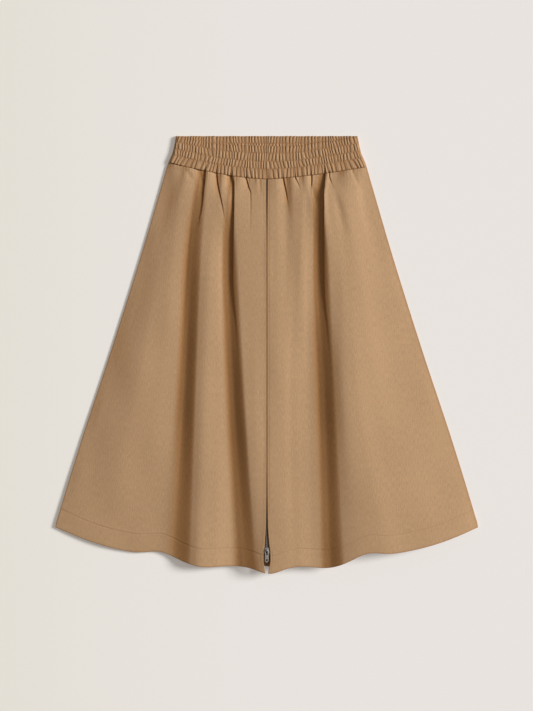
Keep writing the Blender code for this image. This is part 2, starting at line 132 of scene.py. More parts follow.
class Finish:
    """A material in the making: its nodes, its shader, and short ways to add to them."""

    def __init__(self, name, roughness, metallic=0.0, specular=0.5):
        self.material = bpy.data.materials.new(name)
        self.material.use_nodes = True
        self.tree = self.material.node_tree
        self.shader = self.tree.nodes["Principled BSDF"]
        self.shade({"Roughness": roughness, "Metallic": metallic})
        self.shade({"Specular IOR Level": specular})

    def give(self, node, inputs):
        """A node's inputs, by name or number: wired to an output, or set to a value."""
        for key, value in inputs.items():
            socket = node.inputs[key]
            if isinstance(value, bpy.types.NodeSocket):
                self.tree.links.new(value, socket)
            else:
                socket.default_value = (*value, 1) if socket.type == "RGBA" else value

    def shade(self, inputs):
        """The shader's inputs."""
        self.give(self.shader, inputs)

    def node(self, kind, inputs=None, **settings):
        """A node, with its settings as properties."""
        made = self.tree.nodes.new(kind)
        for key, value in settings.items():
            setattr(made, key, value)
        self.give(made, inputs or {})
        return made

    def place(self):
        """Object coordinates."""
        return self.node("ShaderNodeTexCoord").outputs["Object"]

    def carried(self, attribute, kind="Fac"):
        """What the mesh carries at each point: a number, or a vector."""
        return self.node("ShaderNodeAttribute", attribute_name=attribute).outputs[kind]

    def mapped(self, place, **inputs):
        """The place with another Scale, Rotation or Location."""
        return self.node("ShaderNodeMapping", {"Vector": place, **inputs}).outputs["Vector"]

    def noise(self, place, scale=1.0, detail=2.0, roughness=0.5):
        """Cloudy noise from 0 to 1."""
        inputs = {"Vector": place, "Scale": scale, "Detail": detail, "Roughness": roughness}
        return self.node("ShaderNodeTexNoise", inputs).outputs["Fac"]

    def waves(self, place, scale, direction="X"):
        """Even bands from 0 to 1."""
        inputs = {"Vector": place, "Scale": scale}
        made = self.node("ShaderNodeTexWave", inputs, bands_direction=direction)
        return made.outputs["Fac"]

    def between(self, value, low, high, start=0.0, end=1.0):
        """The value from start to end turned into one from low to high."""
        made = self.node("ShaderNodeMapRange", {"Value": value, "To Min": low, "To Max": high})
        self.give(made, {"From Min": start, "From Max": end})
        return made.outputs["Result"]

    def maths(self, operation, first, second):
        """Two values joined by one operation."""
        made = self.node("ShaderNodeMath", {0: first, 1: second}, operation=operation)
        return made.outputs["Value"]

    def mix(self, amount, first, second):
        """A colour between two. They are the node's inputs 6 and 7, and its output 2."""
        inputs = {0: amount, 6: first, 7: second}
        return self.node("ShaderNodeMix", inputs, data_type="RGBA").outputs[2]

    def shaded(self, colour, value):
        """A colour made lighter or darker by a value near 1."""
        inputs = {0: colour, "Scale": value}
        return self.node("ShaderNodeVectorMath", inputs, operation="SCALE").outputs["Vector"]

    def bump(self, height, distance):
        """Relief on the shader, with the height's full depth in metres."""
        made = self.node("ShaderNodeBump", {"Height": height, "Distance": distance})
        self.shade({"Normal": made.outputs["Normal"]})


paper = Finish("plain pale paper", roughness=0.95, specular=0.1)
paper_clouds = paper.noise(paper.place(), scale=300, detail=3)
paper_split = paper.node("ShaderNodeSeparateXYZ", {0: paper.place()})
# Painted shade: the surface darkens towards the left
paper_left_shade = paper.between(paper_split.outputs["X"], 1, 0, LEFT_FROM * MM, LEFT_TO * MM)
paper_plain = paper.mix(paper_clouds, FLOOR_COLOUR, FLOOR_GRAIN)
paper_tone = paper.mix(paper_left_shade, paper_plain, FLOOR_SHADED_LEFT)
paper.shade({"Base Color": paper_tone, "Emission Color": paper_tone})
paper.shade({"Emission Strength": FLOOR_GLOW})

floor_mesh = bpy.data.meshes.new("floor")
floor_corners = np.array([(-1, -1, 0), (1, -1, 0), (1, 1, 0), (-1, 1, 0)]) * FLOOR_SIZE / 2
floor_mesh.from_pydata((floor_corners - (0, 0, FLOOR_DROP)) * MM, [], [(0, 1, 2, 3)])
floor_mesh.materials.append(paper.material)
floor = put_in_scene("floor", floor_mesh)

# ------------------------------------------------------------ the back panel
# The back is one flared piece of the same cotton drill, gathered into the
# band and lying on the surface, with low folds under the front's hollows.
# Its hem is turned up once and stitched, as the front's is.

SKIRT_BODY = "skirt"
# One layer of drill, the turned hem with its folded edge, and how deep the turn is
CLOTH = 1.3
TURNED_HEM = 2.4
HEM_DEPTH = 33
HEM_STEP = 1.2
SEAM_GAP = 0.3

# Half of the width of the skirt: down, half width
SIDE = (
    (0, 160.2),
    (28, 166.0),
    (50, 174.9),
    (78, 183.2),
    (205, 220.3),
    (375, 273.6),
    (545, 329.7),
    (673, 368.8),
    (686, 372.6),
    (692, 373.5),
)

# The edges of a panel that have a curve of their own
EDGES = {"side seam": SIDE}

# The hem is an arc, with soft waves where folds meet it: x, further down, spread
HEM_RADIUS = 1014.6
HEM_CENTRE_DOWN = -253.1
HEM_WAVES = (
    (-297, 5.0, 53),
    (-188, -9.0, 21),
    (-115, 6.5, 25),
    (5, 11.7, 20),
    (110, 7.4, 25),
    (179, -9.0, 21),
    (301, 5.1, 53),
)
# The back's hem is shorter by this, and by more at the middle
BACK_SHORTER = 3.0
BACK_SHORTER_TO_CORNER = 8
BACK_SHORTER_MIDDLE = 8.5
BACK_MIDDLE_SPREAD = 22

# The waist seam of the back: x, down
BACK_SEAM = ((-173.6, 47.0), (-90, 57.0), (0, 59.5), (90, 58.5), (176.5, 55.5))

FOLD_SHARES = (0.0, 0.07, 0.22, 0.55, 1.0)
BACK_FOLDS = (
    # line, x at the five shares, height of the underside at the five shares
    ("side seam", (-173.6, -178, -210, -300, -373), (0, 0, 0, 0, 0)),
    ("left flat", (-150, -158, -180, -235, -290), (0, 0, 0, 0, 0)),
    ("left rest", (-121, -128, -138, -163, -192), (0, 0, 0, 0, 0)),
    ("second rest", (-98, -104, -110, -116, -120), (0, 0, 0, 0, 0)),
    ("second fold", (-68, -73, -74, -70, -56), (0, 1.0, 4.5, 8.0, 5.5)),
    ("middle rest", (-36, -38, -36, -26, -16), (0, 0, 0, 0, 0)),
    ("right of the zip", (34, 36, 38, 36, 40), (0, 0, 0, 0, 0)),
    ("third fold", (88, 85, 84, 83, 91), (0, 1.0, 2.0, 8.5, 3.5)),
    ("third rest", (122, 120, 122, 130, 150), (0, 0, 0, 0, 0)),
    ("right flat", (155, 160, 185, 240, 296), (0, 0, 0, 0, 0)),
    ("side seam", (176.5, 180, 210, 300, 373), (0, 0, 0, 0, 0)),
)
BACK_COLUMNS = 190
BACK_ROWS = 150
# Columns close to a panel's edges, as shares of its width
EDGE_COLUMNS = (0.0004, 0.001, 0.0019, 0.0034)
# Rows close together about the end of the hem's turn, and towards the hem's edge:
# distances from the turn's end, and from the edge
TURN_ROWS = (3, 1.4, 0.4, -0.4, -1.4, -3)
HEM_ROWS = (26, 22, 18, 14, 10, 6, 3.5, 2.0, 1.1, 0.55, 0.2)
# The least of the wall that is left at a rounded edge
EDGE_LEAST = 0.02

DRILL_LIGHT = (0.470, 0.296, 0.163)
DRILL_DARK = (0.400, 0.243, 0.129)
# Painted shade: a rim of this colour runs along each edge, where the cloth turns down
DRILL_EDGE_SHADE = (0.330, 0.165, 0.065)
EDGE_SHADE = 0.55
EDGE_SHADE_WIDTH = 2.2
# Painted shade: the steep side of a fold, facing away from the light, is coloured darker and
# warmer
DRILL_PAINTED_SHADE = (0.405, 0.202, 0.078)
# The patterns of the drill: repeats per mm across and down the cut cloth, how far
# each lightens or darkens the colour, and its share of the relief
SLUBS, SLUB_TONE, SLUB_RELIEF = (0.55, 0.11, 1), 0.24, 0.9
SLUB_MIX = (0.25, 0.75)
GRAIN, GRAIN_TONE = (0.9, 0.6, 1), 0.14
CLOUDS, CLOUD_TONE = (0.018, 0.010, 1), 0.03
TWILL_TURN = math.radians(63)
TWILL_RIBS, RIB_TONE, RIB_RELIEF = 0.36, 0.015, 0.35
DRILL_RELIEF = 0.22

THREAD = 0.45
THREAD_SIDES = 6
STITCH = 2.8
STITCH_GAP = 0.6
STITCH_SHAPE = (
    # share of its length, lift and girth as shares of the thread
    (0.0, -0.55, 0.55),
    (0.14, 0.1, 0.95),
    (0.5, 0.3, 1.0),
    (0.86, 0.1, 0.95),
    (1.0, -0.55, 0.55),
)
HEM_STITCH = 32
THREAD_LIGHT = (0.400, 0.225, 0.105)
THREAD_DARK = (0.300, 0.160, 0.070)


def columns(table):
    """The columns of a short table, as arrays."""
    return [np.array(column, float) for column in zip(*table)]


def smooth(places, values, at):
    """A curve through the values that never overshoots them (monotone cubic).

    values may hold one curve, or one row for each curve.
    """
    places, values, at = (np.asarray(a, float) for a in (places, values, at))
    step = np.diff(places)
    rise = np.diff(values, axis=-1) / step
    slope = np.zeros_like(values)
    before, after = rise[..., :-1], rise[..., 1:]
    near, far = 2 * step[1:] + step[:-1], step[1:] + 2 * step[:-1]
    same_way = before * after > 0
    safe_before = np.where(same_way, before, 1.0)
    safe_after = np.where(same_way, after, 1.0)
    mean = (near + far) / (near / safe_before + far / safe_after)
    slope[..., 1:-1] = np.where(same_way, mean, 0.0)
    slope[..., 0], slope[..., -1] = rise[..., 0], rise[..., -1]
    i = np.clip(np.searchsorted(places, at, side="right") - 1, 0, len(step) - 1)
    t = (at - places[i]) / step[i]
    start, end = values[..., i], values[..., i + 1]
    leave, arrive = slope[..., i] * step[i], slope[..., i + 1] * step[i]
    return (
        (2 * t**3 - 3 * t**2 + 1) * start
        + (t**3 - 2 * t**2 + t) * leave
        + (3 * t**2 - 2 * t**3) * end
        + (t**3 - t**2) * arrive
    )


def read_curve(table, at):
    """The second column of a table of two, read between its rows."""
    places, values = columns(table)
    return smooth(places, values, np.clip(at, places[0], places[-1]))


def hem_down(x):
    """The front's hem: an arc about a point above the waist, with its waves."""
    x = np.asarray(x, float)
    down = HEM_CENTRE_DOWN + np.sqrt(HEM_RADIUS**2 - x**2)
    for middle, further, spread in HEM_WAVES:
        down = down + further * np.exp(-0.5 * ((x - middle) / spread) ** 2)
    return down


def back_hem_down(x):
    """The back's hem: the front's, drawn up a little, and more at the middle."""
    x = np.asarray(x, float)
    corner = SIDE[-1][1]
    shorter = BACK_SHORTER * (1 - (x / corner) ** BACK_SHORTER_TO_CORNER)
    middle = BACK_SHORTER_MIDDLE * np.exp(-0.5 * (x / BACK_MIDDLE_SPREAD) ** 2)
    return hem_down(x) - shorter - middle


# The lowest point of the hem, which is close to its middle
LENGTH = float(hem_down(np.linspace(-30, 30, 601)).max())


def fold_surface(folds, seam, hem, shares, lines):
    """x, down and height of a folded panel over two parameters.

    shares says how far down the panel a row is, and lines which fold line a
    column is on, with fractions between two. x and height follow the fold
    lines down the panel as smooth curves, and run as smooth curves across
    them. down runs evenly from the waist seam to the hem.
    """
    across = np.array([smooth(FOLD_SHARES, line[1], shares) for line in folds]).T
    height = np.array([smooth(FOLD_SHARES, line[2], shares) for line in folds]).T
    for i, (kind, at, _) in enumerate(folds):
        if kind in EDGES:
            top, foot = read_curve(seam, at[0]), hem(at[-1])
            edge = read_curve(EDGES[kind], top + shares * (foot - top))
            across[:, i] = math.copysign(1, at[0]) * edge
    numbers = np.arange(len(folds))
    x = smooth(numbers, across, lines)
    z = smooth(numbers, height, lines)
    start, end = read_curve(seam, x[0]), hem(x[-1])
    down = start + shares[:, None] * (end - start)
    return x, down, z


def spread(start, end, count, near_ends=()):
    """Even numbers from start to end, and some that are near to the two by so much."""
    near, even = np.array(near_ends, float), np.linspace(start, end, count)
    return np.unique(np.concatenate([even, start + near, end - near]))


def even_lines(folds, count, near_edges=()):
    """Columns about evenly apart across a panel, as places among its fold lines.

    near_edges adds columns close to both edges, as shares of the width.
    """
    middle = np.mean([(line[1][1], line[1][-1]) for line in folds], axis=1)
    share = (middle - middle[0]) / (middle[-1] - middle[0])
    return np.interp(spread(0, 1, count, near_edges), share, np.arange(len(folds)))


def hem_rows(count, length, closer_at_top=1.0):
    """Shares from waist to hem: even ones, and the close rows above the hem."""
    even = np.linspace(0, 1, count) ** closer_at_top
    from_hem = np.concatenate([HEM_DEPTH + np.array(TURN_ROWS), HEM_ROWS])
    at = 1 - from_hem / length
    return np.unique(np.concatenate([even[even < at.min()], at, [1.0]]))


def slope_factor(x, down, z):
    """How much taller than its thickness a wall is, measured straight up.

    It is the root of 1 plus the squares of the slopes across and straight down.
    """
    along = np.gradient(z, axis=0) / np.gradient(down, axis=0)
    drift = np.gradient(x, axis=0) / np.gradient(down, axis=0)
    across = np.gradient(z, axis=1) / np.gradient(x, axis=1)
    return np.sqrt(1 + across**2 + (along - drift * across) ** 2)


def ease(value):
    """From 0 to 1 and level at both ends: three squares less two cubes."""
    value = np.clip(value, 0, 1)
    return value * value * (3 - 2 * value)


def round_over(distance, radius):
    """A share of the half wall near an edge: a quarter circle from 0 to 1."""
    return np.sqrt(1 - (1 - np.clip(distance / radius, 0, 1)) ** 2)


def wall_thickness(from_hem):
    """One layer of drill, and the pressed layers of the turned hem."""
    return CLOTH + (TURNED_HEM - CLOTH) * ease((HEM_DEPTH - from_hem) / HEM_STEP)


def points(x, down, z):
    """Points in the skirt's frame, in millimetres."""
    x, down, z = np.broadcast_arrays(x, down, z)
    return np.stack([x, LENGTH / 2 - down, z], axis=-1).astype(float)


def added_up(steps):
    """Steps added up along the last axis, from 0."""
    total = np.cumsum(steps, axis=-1)
    return np.concatenate([np.zeros_like(total[..., :1]), total], axis=-1)


def cut_places(grid):
    """Where each point lay before folding: distances along the cloth, in mm.

    The first runs across, added up from the column nearest the zip line, and
    the second runs down the rows.
    """
    across = added_up(np.linalg.norm(np.diff(grid, axis=1), axis=2))
    nearest = np.argmin(np.abs(grid[0, :, 0]))
    across = across - across[:, nearest : nearest + 1]
    down = added_up(-np.diff(grid[..., 1], axis=0).T).T
    return np.stack([across, down, np.zeros_like(down)], axis=-1)


def add_piece(name, vertices, faces, finish, **attributes):
    """A smooth mesh from points in mm and arrays of faces, riding on the skirt.

    attributes are values for each point, a number or a vector, for the finish.
    """
    mesh = bpy.data.meshes.new(name)
    corners = [face for block in faces for face in block.tolist()]
    mesh.from_pydata(np.asarray(vertices) * MM, [], corners)
    mesh.shade_smooth()
    for key, values in attributes.items():
        values = np.asarray(values, np.float32)
        kind, field = ("FLOAT", "value") if values.ndim == 1 else ("FLOAT_VECTOR", "vector")
        mesh.attributes.new(key, kind, "POINT").data.foreach_set(field, values.ravel())
    mesh.validate()
    mesh.materials.append(finish.material)
    made = put_in_scene(name, mesh)
    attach(made, SKIRT_BODY)
    return made


def quads(a, b, c, d):
    """Four grids of vertex numbers, as rows of four corners."""
    return np.stack([a, b, c, d], axis=-1).reshape(-1, 4)


def shell_faces(rows, cols):
    """The faces of a closed wall between two grids of the same size."""
    top = np.arange(rows * cols).reshape(rows, cols)
    low = top + rows * cols
    return [
        quads(top[:-1, :-1], top[1:, :-1], top[1:, 1:], top[:-1, 1:]),
        quads(low[:-1, :-1], low[:-1, 1:], low[1:, 1:], low[1:, :-1]),
        quads(low[0, :-1], top[0, :-1], top[0, 1:], low[0, 1:]),
        quads(top[-1, :-1], low[-1, :-1], low[-1, 1:], top[-1, 1:]),
        quads(top[:-1, 0], low[:-1, 0], low[1:, 0], top[1:, 0]),
        quads(low[:-1, -1], top[:-1, -1], top[1:, -1], low[1:, -1]),
    ]


def add_cloth(name, x, down, low, high, edge, finish, turn_in, hollow=0.0):
    """A cloth wall between two heights, its edges rounded over.

    edge is each point's distance from the nearest edge in mm, turn_in how far
    from the edge the wall is full. The wall closes on its middle at the edge.
    hollow goes to the finish, from 0 to 1 for its painted shade.
    """
    middle, half = (low + high) / 2, (high - low) / 2
    half = half * np.maximum(round_over(edge, turn_in), EDGE_LEAST)
    top, under = points(x, down, middle + half), points(x, down, middle - half)
    place = cut_places(top)
    both = np.concatenate([top.reshape(-1, 3), under.reshape(-1, 3)])
    # Painted shade along the edges, carried to the finish as edge
    edge_shade = np.exp(-((edge / EDGE_SHADE_WIDTH) ** 2))
    sunk = np.broadcast_to(hollow, x.shape)
    return add_piece(
        name,
        both,
        shell_faces(*x.shape),
        finish,
        cut=np.tile(place.reshape(-1, 3), (2, 1)),
        edge=np.tile(edge_shade.ravel(), 2),
        hollow=np.tile(sunk.ravel(), 2),
    )


def drill_finish(name, painted_shade_colour):
    """Cotton drill: a fine twill, slubs that run down the cloth, a dry nap, and painted shade
    along the edges and where the mesh carries hollow.
    """
    made = Finish(name, roughness=0.9, specular=0.12)
    made.shade({"Sheen Weight": 0.03, "Sheen Roughness": 0.5, "Sheen Tint": DRILL_LIGHT})
    cut = made.carried("cut", "Vector")
    slubs = made.noise(made.mapped(cut, Scale=SLUBS), detail=3, roughness=0.7)
    grain = made.noise(made.mapped(cut, Scale=GRAIN), detail=2, roughness=0.6)
    clouds = made.noise(made.mapped(cut, Scale=CLOUDS), detail=2)
    ribs = made.waves(made.mapped(cut, Rotation=(0, 0, TWILL_TURN)), scale=TWILL_RIBS)
    tone = made.between(ribs, 1 - RIB_TONE, 1 + RIB_TONE)
    for pattern, most in ((slubs, SLUB_TONE), (grain, GRAIN_TONE), (clouds, CLOUD_TONE)):
        tone = made.maths("ADD", tone, made.between(pattern, -most, most))
    slubs_and_shade = made.mix(made.between(slubs, *SLUB_MIX), DRILL_DARK, DRILL_LIGHT)
    # Painted shade: darker and warmer where the mesh carries hollow
    slubs_and_shade = made.mix(made.carried("hollow"), slubs_and_shade, painted_shade_colour)
    # Painted shade along the edges
    edge_shade = made.maths("MULTIPLY", made.carried("edge"), EDGE_SHADE)
    made.shade({"Base Color": made.shaded(made.mix(edge_shade, slubs_and_shade, DRILL_EDGE_SHADE), tone)})
    relief = made.maths("ADD", made.maths("MULTIPLY", ribs, RIB_RELIEF), grain)
    relief = made.maths("ADD", relief, made.maths("MULTIPLY", slubs, SLUB_RELIEF))
    made.bump(relief, distance=DRILL_RELIEF * MM)
    return made


def line_at(value, level, *fields):
    """Where a value that falls down each column of a grid meets a level.

    Gives each field there, read between the two nearest rows.
    """
    below = np.argmax(value <= level, axis=0)
    across = np.arange(value.shape[1])
    high, low = value[below - 1, across], value[below, across]
    part = (high - level) / (high - low)
    pairs = ((field[below - 1, across], field[below, across]) for field in fields)
    return [(1 - part) * before + part * after for before, after in pairs]


def tube_faces(count, stations, sides):
    """The faces of many closed tubes, each a run of rings with both ends shut."""
    spot = np.arange(count * stations * sides).reshape(count, stations, sides)
    after = np.roll(spot, -1, axis=2)
    return [
        quads(spot[:, :-1], spot[:, 1:], after[:, 1:], after[:, :-1]),
        spot[:, 0],
        spot[:, -1, ::-1],
    ]


def add_stitches(name, x, down, z):
    """A row of separate stitches along a line on the cloth.

    A point of a stitch is the line's point there, plus the stitch's lift,
    plus a circle across the line, both from the table of its shape.
    """
    line = points(x, down, z)
    along = added_up(np.linalg.norm(np.diff(line, axis=0), axis=1))
    share, lift, girth = columns(STITCH_SHAPE)
    count = int(along[-1] // (STITCH + STITCH_GAP))
    begin = (np.arange(count) + 0.5) * along[-1] / count - STITCH / 2
    at = begin[:, None] + STITCH * share
    centre = np.stack([np.interp(at, along, line[:, i]) for i in range(3)], axis=-1)
    way = centre[:, -1] - centre[:, 0]
    way /= np.linalg.norm(way, axis=1, keepdims=True)
    beside = np.cross(way, (0, 0, 1))
    beside /= np.linalg.norm(beside, axis=1, keepdims=True)
    rise = np.cross(beside, way)
    turn = np.linspace(0, 2 * np.pi, THREAD_SIDES, endpoint=False)[:, None]
    ring = np.cos(turn) * beside[:, None] + np.sin(turn) * rise[:, None]
    lift, girth = lift[:, None, None], girth[:, None, None]
    shape = lift * rise[:, None, None] + 0.5 * girth * ring[:, None]
    spots = centre[:, :, None] + THREAD * shape
    faces = tube_faces(count, len(share), THREAD_SIDES)
    made = add_piece(name, spots.reshape(-1, 3), faces, thread)
    return made


thread = Finish("sewing thread", roughness=0.62, specular=0.4)
twist = thread.waves(thread.place(), scale=900, direction="DIAGONAL")
thread.shade({"Base Color": thread.mix(twist, THREAD_DARK, THREAD_LIGHT)})
thread.bump(twist, distance=0.08 * MM)

drill = drill_finish("cotton drill", DRILL_PAINTED_SHADE)

back_shares = hem_rows(BACK_ROWS, LENGTH - max(down for _, down in BACK_SEAM))
back_lines = even_lines(BACK_FOLDS, BACK_COLUMNS, EDGE_COLUMNS)
back_x, back_down, back_low = fold_surface(
    BACK_FOLDS, BACK_SEAM, back_hem_down, back_shares, back_lines
)
back_from_hem = back_down[-1] - back_down
back_steep = slope_factor(back_x, back_down, back_low)
back_high = back_low + wall_thickness(back_from_hem) * back_steep
back_from_side = np.minimum(back_x - back_x[:, :1], back_x[:, -1:] - back_x)
back_edge = np.minimum(back_from_hem, back_from_side)
back_cloth = add_cloth(
    "back_cloth", back_x, back_down, back_low, back_high, back_edge, drill, CLOTH / 2
)
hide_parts("back_panel")
back_hem_thread = add_stitches(
    "back_hem_thread", *line_at(back_from_hem, HEM_STITCH, back_x, back_down, back_high)
)

# ---------------------------------------------------------- the front halves
# Two flared pieces of drill, one on each side of the zip. Their tops are
# gathered into the waist seam, and the fullness falls in three large folds
# with short gathers between them. Each has its hem turned up and stitched.

# The waist seam of the front sags towards the middle: x, down
FRONT_SEAM = (
    (-173.6, 47.0),
    (-148, 54.0),
    (-100, 64.0),
    (-52, 72.5),
    (0, 76.8),
    (52, 73.0),
    (100, 67.0),
    (148, 60.0),
    (176.5, 55.5),
)
# The front's edges stand apart at the zip, most around the slider: down, x
ZIP_EDGE = (
    (76, 1.3),
    (95, 1.2),
    (140, 0.8),
    (200, 0.4),
    (560, 0.4),
    (640, 0.8),
    (690, 1.8),
    (721, 4.0),
    (733, 5.7),
    (751, 5.9),
    (762, 3.9),
    (773, 2.5),
)
EDGES["zip edge"] = ZIP_EDGE

LEFT_FOLDS = (
    # line, x at the five shares, height of the face at the five shares
    ("side seam", (-173.6, -178, -210, -300, -373), (3.9, 3.3, 3, 3, 5.2)),
    ("low rise", (-162, -169, -196, -268, -340), (6.5, 5.2, 5.4, 5.5, 7)),
    ("outer gather", (-150, -160, -182, -222, -287), (6.5, 6.8, 7.3, 11.5, 8.5)),
    ("left crest", (-136, -150, -164, -191, -243), (8.5, 8, 8.8, 10.5, 7)),
    ("first hollow", (-121, -130, -142, -156, -200), (5.5, 7, 7.4, 7.5, 7.5)),
    ("first flank", (-113, -122, -134, -146, -168), (7, 9, 9.8, 9, 9.5)),
    ("first crest", (-103, -106, -115, -124, -134), (9, 14, 17, 19.5, 20.5)),
    ("short gather", (-89, -90, -103, -110, -120), (6, 14, 17.5, 21, 22.3)),
    ("between", (-77, -80, -87, -88, -95), (9, 15, 15.5, 18.5, 19.6)),
    ("second hollow", (-66, -72, -78, -70, -57), (5.5, 15.5, 13.5, 16, 12.2)),
    ("second flank", (-59, -65, -69, -60, -40), (7.5, 17, 15, 18, 16.4)),
    ("second crest", (-48, -55, -50, -38, -18), (9, 17.5, 22, 28, 25)),
    ("inner gather", (-34, -34, -30, -23, -12), (6.5, 16.5, 21.5, 28, 26.8)),
    ("zip rise", (-17, -14, -12, -10, -8), (8.5, 16, 21, 27, 27.6)),
    ("zip edge", (-1.3, -1.2, -0.4, -0.4, -3), (8, 15, 20.5, 26, 28)),
)
RIGHT_FOLDS = (
    ("zip edge", (1.3, 1.2, 0.4, 0.4, 3), (8, 15, 20.5, 26, 28)),
    ("zip rise", (16, 17, 17, 16, 18), (9, 14.5, 20, 25.5, 27.5)),
    ("inner gather", (33, 34, 38, 30, 34), (6, 12, 17, 24, 26.5)),
    ("middle crest", (46, 48, 50, 42, 48), (9, 14.5, 16.5, 21.5, 25)),
    ("short gather", (58, 62, 58, 53, 60), (7, 15, 16.5, 20, 24)),
    ("next crest", (69, 72, 65, 63, 71), (9, 14, 15.5, 18.5, 22.5)),
    ("fading gather", (79, 79, 73, 77, 83), (6.5, 14.5, 13.5, 17, 21)),
    ("third hollow", (91, 87, 81, 89, 96), (5.5, 15, 12.5, 17, 20.5)),
    ("third flank", (98, 94, 89, 100, 110), (7, 17.5, 13.5, 20, 23)),
    ("third crest", (107, 101, 110, 120, 138), (9, 21, 23, 29.5, 33.5)),
    ("shoulder", (115, 108, 126, 137, 166), (7, 18.5, 22, 32.5, 35.5)),
    ("slanting gather", (126, 119, 138, 154, 205), (6.5, 17, 20.5, 31.5, 34)),
    ("right crest", (142, 138, 155, 186, 245), (9, 16, 18.5, 25, 29)),
    ("outer gather", (157, 157, 176, 218, 290), (7, 12.5, 13.5, 17, 23)),
    ("low rise", (167, 171, 195, 258, 338), (6.5, 7, 8, 9, 14.5)),
    ("side seam", (176.5, 180, 210, 300, 373), (3.9, 3.3, 3, 3, 5.2)),
)
# Sharp creases below the waist seam, where a fold rolls over the cloth on its left
CREASES = (
    # places on the way down, x and drop there, how far to the left the drop fades out
    (
        "first fold",
        (54, 74, 98, 120, 145, 165),
        (-107, -108, -110.5, -112.5, -116.5, -119),
        (4.5, 5, 4, 2.5, 1.2, 0),
        6,
    ),
    ("slant", (60, 80, 113, 140, 160), (-88, -86, -79.5, -74, -69), (4, 3.8, 2.6, 1.2, 0), 3.2),
    (
        "second fold",
        (74, 84, 115, 180, 255, 290, 343, 396, 467),
        (-60, -57, -57.2, -58.5, -59, -57, -51.5, -48, -44),
        (4, 5.5, 5.5, 5.5, 4.2, 2.6, 0.8, 0.2, 0),
        9,
    ),
    ("fork", (66, 90, 103, 140, 185), (-37, -31, -27, -26.5, -27), (3.8, 3.2, 1.8, 1.1, 0), 3.4),
    ("fifth", (66, 80, 100, 120, 142), (28.5, 31.5, 35.5, 39.5, 45), (4, 4, 2.8, 1, 0), 3.4),
    ("sixth", (60, 75, 86, 98), (47, 52, 57.5, 63), (3.8, 3.2, 1.8, 0), 3),
    ("seventh", (54, 80, 95, 115, 132), (78.5, 80.5, 79.5, 82.5, 87), (4, 3.5, 1.5, 0.9, 0), 3.4),
    (
        "third fold",
        (52, 70, 85, 100, 180, 255, 290, 343, 396, 467),
        (105, 104, 102.5, 101, 101.2, 101.8, 103.5, 109, 114, 118),
        (4, 5, 6, 6.5, 6.2, 4.8, 3, 1, 0.3, 0),
        9,
    ),
    ("ninth", (52, 72, 84, 100), (113.5, 112, 116, 122), (3.5, 3, 1.6, 0), 3),
)
# A crease's face is this wide, and wider by up to this much as its drop fades
CREASE_EDGE, CREASE_FADE = 0.8, 5.0
# The columns crowd at a crease by this much, and over this width
CREASE_CROWD, CREASE_CROWD_WIDTH = 4.0, 3.0
# Shallow dents with soft sides
DENTS = (
    # down at three places, and x, depth and width there
    ((92, 130, 190), (119, 128, 141), (0.0, 1.6, 0.0), (5.0, 7.0, 8.0)),
    ((84, 105, 132), (80, 84, 92), (0.0, 1.5, 0.0), (4.0, 5.0, 7.0)),
    ((60, 69, 82), (-139, -137, -133), (0.0, 1.3, 0.0), (4.0, 5.0, 6.0)),
    ((56, 68, 84), (-122, -118, -116), (0.0, 1.2, 0.0), (4.0, 4.0, 5.0)),
    ((72, 88, 110), (-13, -12, -11), (1.0, 0.9, 0.0), (1.8, 2.4, 3.0)),
    ((64, 78, 96), (152, 158, 166), (1.2, 0.9, 0.0), (2.4, 3.0, 5.0)),
    ((62, 70, 90), (-24, -22, -21), (1.0, 0.9, 0.0), (1.8, 2.4, 3.0)),
)
# The fine puckers that the waist seam draws up: how far apart, deep and long they
# are. Slow sines of x move them, and make some longer: most, stretch of x, start
PUCKER = 5.3
PUCKER_DEPTH = 0.4
PUCKER_LENGTH = 9.0
PUCKER_WANDER = ((1.3, 17.0, 0.0), (0.8, 7.3, 1.0))
PUCKER_UNEVEN = (0.5, 11.0, 0.6)
# How the cloth rolls down into the waist seam
SEAM_ROLL, SEAM_ROLL_DEPTH = 2.6, 0.5
# The stitching sinks into the cloth a little, over this width. Beside it, at a
# distance, the cloth stands up by a share of that
STITCH_SINK, STITCH_SINK_WIDTH = 0.34, 1.0
STITCH_RIDGE, STITCH_RIDGE_AT = 0.45, 2.2
# The zip's stitching is this far from the edge, and sinks by this share of that.
# It ends this many columns above the hem's edge
ZIP_STITCH = 4.4
ZIP_STITCH_SINK = 0.4
ZIP_STITCH_ENDS = 4
# The cloth is never quite smooth, but has long low waves
WAVE_HEIGHT = 0.35
WAVES = (
    # share of the height, how far apart across and down, start
    (1.0, 23.0, 61.0, 0.0),
    (0.7, 13.7, -47.0, 2.0),
    (0.5, 37.0, -19.0, 4.1),
)
# How far from the zip, the side, the waist seam and the hem the cloth lies calmer,
# and how far from the zip the creases end
CALM_ZIP, CALM_SIDE, CALM_SEAM, CALM_HEM = 12, 16, 30, 30
CREASES_FROM_ZIP = 4
# The face stays clear of the back below it
LOWEST_FACE = 3.0
SOFT_STOP = 0.3
# The most that a steep wall is taller than its thickness
STEEPEST_WALL = 1.8
# The painted shade starts at the first of these slopes and is full at the second,
# measured over the distances
SHADE_FROM, SHADE_FULL = 0.08, 0.46
SHADE_REACHES = (1.5, 4, 8, 13, 19)

FRONT_COLUMNS = 142
FRONT_ROWS = 250
FRONT_ROWS_CLOSER = 1.18
# The folds are worked out on more columns, before these crowd at the creases
FOLD_COLUMNS = 4 * FRONT_COLUMNS


def crease_line(crease, down):
    """A crease's x and drop at each place down, as smooth curves through its table."""
    _, downs, xs, drops, _ = crease
    at = np.clip(down, downs[0], downs[-1])
    return smooth(downs, xs, at), smooth(downs, drops, at)


